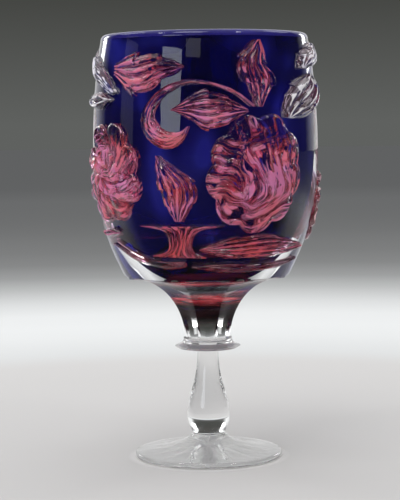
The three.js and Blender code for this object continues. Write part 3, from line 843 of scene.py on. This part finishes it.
def bowl():
    neck = bezier((NECK_RADIUS, NECK_Z), (NECK_RADIUS, lerp(NECK_Z, LEDGE_Z, 0.38)),
                  (LEDGE_RADIUS / 2, LEDGE_Z - LEDGE_EDGE * 1.6), (LEDGE_RADIUS, LEDGE_Z - LEDGE_EDGE),
                  NECK_STEPS)
    heights = np.linspace(LEDGE_Z, LIP_Z, WALL_ROWS + 1)
    wall = np.stack([wall_radius(heights), heights], 1)
    inner = cup_path(LINING_THICKNESS + SKIN, SOCKET_STEPS)
    profile = np.vstack([[(0, NECK_Z)], neck, wall, inner])
    first = 1 + len(neck)
    inside = first + len(wall) - 1
    band = np.zeros(len(profile) - 1, int)
    band[0] = JOINT
    band[inside:] = JOINT
    hidden = under_motifs(heights)
    hidden = hidden & np.roll(hidden, -1, 0)
    hidden = hidden[:, :-1] & hidden[:, 1:]

    def fluted(row, radius, height, angle):
        if row > len(neck):
            return radius, height
        depth = FLUTE_SHARE * (1 - FLUTE_FADE * (height[0] - NECK_Z) / NECK_HEIGHT)
        return radius * (1 - depth * np.abs(np.cos(angle * FLUTES / 2))), height

    def covered(row, column):
        return first <= row < first + WALL_ROWS and hidden[column, row - first]

    revolve("crystal_bowl", profile, [CRYSTAL, JOINED], band, AROUND, fluted, covered, sharp=25)


# Painted light and painted shade on the blue: degrees, share of the bowl's height, their spreads and strength
PAINTED_GLOWS_AND_SHADE = (
    (-33, 0.36, 9, 0.16, 0.15), (-1, 0.50, 6, 0.05, 0.20), (-61, 0.92, 14, 0.08, 0.16),
    (35, 0.90, 8, 0.08, 0.14), (59, 0.88, 9, 0.06, 0.14), (57, 0.55, 8, 0.14, 0.18),
    (0, 0.17, 10, 0.04, 0.16), (-45, 0.72, 7, 0.10, 0.12), (-28, 0.96, 16, 0.05, 0.16),
    (14, 0.96, 12, 0.04, 0.10), (-36, 0.50, 7, 0.07, 0.12), (12, 0.62, 8, 0.05, 0.10),
    (-20, 0.72, 10, 0.12, -0.12), (8, 0.85, 14, 0.10, -0.12), (-42, 0.20, 14, 0.07, -0.08),
    (45, 0.25, 20, 0.10, -0.12))


def painted_glow(points):
    """Painted light and shade of the lining at its points, the same on the front and on the back."""
    degrees = (np.degrees(np.arctan2(points[:, 0], -points[:, 1])) + 90) % 180 - 90
    share = (points[:, 2] - LEDGE_Z) / BOWL_HEIGHT
    light = np.zeros(len(points))
    for angle, height, width, spread, strength in PAINTED_GLOWS_AND_SHADE:
        light += strength * np.exp(-((degrees - angle) / width) ** 2 - ((share - height) / spread) ** 2)
    return np.stack([degrees, share, light], 1)


def lining():
    outside = cup_path(LINING_THICKNESS, LINING_STEPS)[::-1]
    outside[:, 1] = np.minimum(outside[:, 1], LIP_Z)
    inside = cup_path(0, LINING_STEPS)
    lip_z = LIP_Z + SKIN
    middle = (RIM_RADIUS + MOUTH_RADIUS) / 2
    lip = ellipse_arc((middle, lip_z), RIM_RADIUS - middle, RIM_Z - lip_z, 0, 180, LIP_STEPS)
    profile = np.vstack([outside[:-1], [(outside[-1, 0], lip_z)], lip[:-1], inside])
    band = np.zeros(len(profile) - 1, int)
    layer, lip_face = 1, 2
    band[:len(outside)] = layer
    band[len(outside):len(outside) + len(lip) - 1] = lip_face
    materials = [COBALT, COBALT_LAYER, COBALT_LIP]
    revolve("cobalt_lining", profile, materials, band, LINING_AROUND, grain=painted_glow)


def merese():
    edge = (MERESE_RADIUS, MERESE_Z + MERESE_EDGE_HEIGHT)
    upper = bezier(edge, (MERESE_UNDER_RADIUS, lerp(edge[1], NECK_Z, 0.2)),
                   (NECK_RADIUS, lerp(edge[1], NECK_Z, 0.3)), (NECK_RADIUS, NECK_Z), MERESE_STEPS)
    under = [(0, MERESE_Z), (ROD_RADIUS, MERESE_Z), (MERESE_UNDER_RADIUS, MERESE_Z)]
    profile = np.vstack([under, upper, [(0, NECK_Z)]])
    band = np.zeros(len(profile) - 1, int)
    band[[0, -1]] = JOINT
    revolve("merese", profile, [COLLAR, JOINED], band, TURNED_AROUND)


def stem():
    knop_z = STEM_Z + KNOP_HEIGHT
    swelling = bezier((FOOT_JOINT_RADIUS, STEM_Z), (FOOT_JOINT_RADIUS, STEM_Z + KNOP_HEIGHT * 0.3),
                      (KNOP_RADIUS, STEM_Z + KNOP_HEIGHT * 0.5), (KNOP_RADIUS, knop_z), KNOP_STEPS)
    taper = bezier((KNOP_RADIUS, knop_z), (KNOP_RADIUS, lerp(knop_z, MERESE_Z, 0.33)),
                   (ROD_RADIUS, lerp(knop_z, MERESE_Z, 0.48)), (ROD_RADIUS, MERESE_Z), TAPER_STEPS)[1:]
    profile = np.vstack([[(0, STEM_Z)], swelling, taper, [(0, MERESE_Z)]])
    band = np.zeros(len(profile) - 1, int)
    band[[0, -1]] = JOINT
    revolve("stem", profile, [CRYSTAL, JOINED], band, TURNED_AROUND)


def foot():
    edge = FOOT_EDGE / 2
    flat = FOOT_RADIUS - edge
    under = np.stack([np.linspace(0, flat, UNDER_ROWS), np.zeros(UNDER_ROWS)], 1)[:-1]
    rim = ellipse_arc((flat, edge), edge, edge, -90, 90, FOOT_EDGE_STEPS)
    rise = bezier((flat, FOOT_EDGE), (FOOT_RADIUS * 0.6, FOOT_EDGE * 1.5),
                  (FOOT_JOINT_RADIUS * 1.5, FOOT_HEIGHT * 0.6), (FOOT_JOINT_RADIUS, FOOT_HEIGHT),
                  FOOT_RISE_STEPS)[1:]
    profile = np.vstack([under, rim, rise, [(0, FOOT_HEIGHT)]])
    band = np.zeros(len(profile) - 1, int)
    band[:len(under)] = THIRD
    band[-1] = JOINT

    def star(row, radius, height, angle):
        if row >= len(under) or radius[0] > STAR_OUTER or radius[0] < STAR_INNER:
            return radius, height
        along = (radius[0] - STAR_INNER) / (STAR_OUTER - STAR_INNER)
        half = STAR_WIDTH / 2 * math.sin(math.pi * along ** 0.8)
        pitch = 2 * np.pi / STAR_RAYS
        away = np.abs((angle + pitch / 2) % pitch - pitch / 2) * radius[0]
        cut = np.clip(1 - away / max(half, 0.05), 0, 1)
        return radius, height + STAR_DEPTH * cut * half / (STAR_WIDTH / 2)

    revolve("foot", profile, [TOOLED, JOINED, GROUND], band, FOOT_AROUND, star, sharp=25)


bowl()
lining()
merese()
stem()
foot()


# The stage: a pale floor with painted light, brightest under the foot and in a ring round the glass, and
# painted shade that darkens it into the background, in metres from the axis and share of white
FLOOR_PAINTED_LIGHT = (
    (0.0, 0.97), (0.019, 0.97), (0.023, 0.52), (0.05, 0.555), (0.10, 0.57), (0.15, 0.575), (0.19, 0.59),
    (0.22, 0.65), (0.27, 0.71), (0.31, 0.73), (0.36, 0.71), (0.42, 0.60), (0.49, 0.43), (0.565, 0.29),
    (0.66, 0.21), (0.77, 0.186), (1.0, 0.178), (1.6, 0.196), (2.0, 0.174))
GREY_REACH = 2.0
WARM_REACH = 0.2
WARM_TINT = (1.015, 0.99, 0.972)
COOL_TINT = (0.996, 1.002, 0.995)
FLOOR_RADIUS = 6
FLOOR_SIDES = 96
FLOOR_DROP = 0.0002


def floor():
    material, tree = new_material("studio_floor")
    place = add(tree, "NewGeometry").outputs["Position"]
    away = add(tree, "VectorMath", {0: place}, operation="LENGTH").outputs["Value"]
    stops = []
    for distance, level in FLOOR_PAINTED_LIGHT:
        tint = WARM_TINT if distance < WARM_REACH else COOL_TINT
        stops.append((distance / GREY_REACH, tuple(level * part for part in tint)))
    colour = ramp(tree, span(tree, away, 0.0, GREY_REACH), stops)
    plain = add(tree, "BsdfDiffuse", {"Color": colour}).outputs[0]
    path = add(tree, "LightPath").outputs
    # Painted shade: the floor in front of the glass shows dark in its reflections
    mirrored = reckon(tree, "MULTIPLY", path["Is Glossy Ray"], path["Is Reflection Ray"])
    front = span(tree, split(tree, place)["Y"], 0.03, -0.03)
    painted_shade = add(tree, "BsdfDiffuse", {"Color": (0.06, 0.06, 0.06, 1)}).outputs[0]
    shown(material, mixed_shader(tree, reckon(tree, "MULTIPLY", mirrored, front), plain, painted_shade))
    mesh = bpy.data.meshes.new("floor")
    turns = np.arange(FLOOR_SIDES) * -2 * math.pi / FLOOR_SIDES
    ring = [(FLOOR_RADIUS * math.sin(a), FLOOR_RADIUS * math.cos(a), -FLOOR_DROP) for a in turns]
    mesh.from_pydata(ring, [], [tuple(range(FLOOR_SIDES))])
    mesh.materials.append(material)
    piece = bpy.data.objects.new("floor", mesh)
    bpy.context.scene.collection.objects.link(piece)


def surroundings():
    """A pale tent with a grey backdrop; polished faces mirror a dark camera side and a light back."""
    world = bpy.data.worlds.new("studio")
    bpy.context.scene.world = world
    world.use_nodes = True
    tree = world.node_tree
    tree.nodes.clear()
    path = add(tree, "LightPath").outputs
    seen = reckon(tree, "MAXIMUM", path["Is Camera Ray"], path["Is Glossy Ray"])
    seen = reckon(tree, "MAXIMUM", seen, path["Is Transmission Ray"])
    direct = reckon(tree, "SUBTRACT", 1.0, path["Diffuse Depth"], use_clamp=True)
    mirrored = reckon(tree, "MULTIPLY", path["Is Glossy Ray"], path["Is Reflection Ray"])
    way = split(tree, add(tree, "TexCoord").outputs["Generated"])
    backdrop = ramp(tree, span(tree, way["Z"], 0.0, 0.08), [
        (0.0, (0.115, 0.12, 0.115)), (1.0, (0.056, 0.058, 0.053))])
    behind = reckon(tree, "MAXIMUM", span(tree, way["Y"], 0.70, 0.85), path["Is Camera Ray"])
    aside = span(tree, reckon(tree, "ABSOLUTE", way["X"]), 0.15, 0.35)
    roof = ramp(tree, aside, [(0.0, (0.05, 0.05, 0.055)), (1.0, (0.92, 0.93, 0.93))])
    tent = mixed_colour(tree, span(tree, way["Z"], 0.20, 0.60), (0.97, 0.98, 0.98, 1), roof)
    around = mixed_colour(tree, behind, tent, backdrop)
    above = span(tree, way["Z"], 0.50, 0.75, 0.0, 0.4)
    glare = reckon(tree, "MAXIMUM", span(tree, way["Y"], 0.55, 0.80, 0.03, 0.85), above)
    around = mixed_colour(tree, mirrored, around, glare)
    soft = add(tree, "Background", {"Color": (0.96, 0.98, 1.0, 1), "Strength": 0.70}).outputs[0]
    light = add(tree, "Background", {"Color": around, "Strength": 1.0}).outputs[0]
    mixed = mixed_shader(tree, reckon(tree, "MULTIPLY", seen, direct), soft, light)
    tree.links.new(mixed, tree.nodes.new("ShaderNodeOutputWorld").inputs[0])


LAMP_TARGET = (0, 0, 0.085)
CAMERA_PLACE = (-0.0019, -0.470, 0.095)
CAMERA_TARGET = (-0.0019, 0, 0.059)
CAMERA_ROLL = -0.7


def softbox(name, azimuth, elevation, distance, width, height, radiance, colour=(1, 1, 1)):
    """A soft lamp aimed at the bowl: degrees from the front to the right and up, then metres."""
    a, e = math.radians(azimuth), math.radians(elevation)
    away = Vector((math.sin(a) * math.cos(e), -math.cos(a) * math.cos(e), math.sin(e)))
    lamp = bpy.data.lights.new(name, "AREA")
    lamp.shape = "RECTANGLE"
    lamp.size, lamp.size_y = width, height
    lamp.energy = radiance * math.pi * width * height
    lamp.color = colour
    piece = bpy.data.objects.new(name, lamp)
    piece.location = Vector(LAMP_TARGET) + away * distance
    piece.rotation_euler = (-away).to_track_quat("-Z", "Y").to_euler()
    bpy.context.scene.collection.objects.link(piece)
    return piece


def camera():
    data = bpy.data.cameras.new("camera")
    data.lens, data.sensor_width = 119, 36
    piece = bpy.data.objects.new("camera", data)
    piece.location = CAMERA_PLACE
    turn = (Vector(CAMERA_TARGET) - piece.location).to_track_quat("-Z", "Y").to_matrix()
    piece.rotation_euler = (turn @ Matrix.Rotation(math.radians(CAMERA_ROLL), 3, "Z")).to_euler()
    bpy.context.scene.collection.objects.link(piece)
    bpy.context.scene.camera = piece


floor()
surroundings()
softbox("strip_left", -35, 12, 1.0, 0.36, 0.32, 3.0, (0.88, 0.93, 1.0))
softbox("strip_middle", -12, 22, 1.0, 0.26, 0.12, 0.7)
softbox("side_left", -86, 8, 1.0, 0.3, 0.4, 0.35, (0.92, 0.88, 1.0))
softbox("overhead", 180, 62, 1.1, 1.8, 1.2, 0.5).visible_transmission = False
softbox("key", -24, 60, 1.0, 0.45, 0.45, 3.4)
softbox("glint_left", -62, 50, 1.0, 0.09, 0.09, 18.0)
softbox("glint_right", 48, 50, 1.0, 0.09, 0.09, 18.0)
softbox("edge_left", -142, 14, 1.0, 0.20, 0.26, 5.5)
softbox("edge_right", 142, 14, 1.0, 0.20, 0.26, 5.5)
softbox("corner_left", -118, 45, 1.0, 0.36, 0.36, 1.6)
softbox("corner_right", 118, 45, 1.0, 0.36, 0.36, 1.6)
camera()

scene = bpy.context.scene
scene.view_settings.view_transform = "Standard"
scene.cycles.transparent_max_bounces = 32
scene.cycles.transmission_bounces = 24
scene.cycles.max_bounces = 24
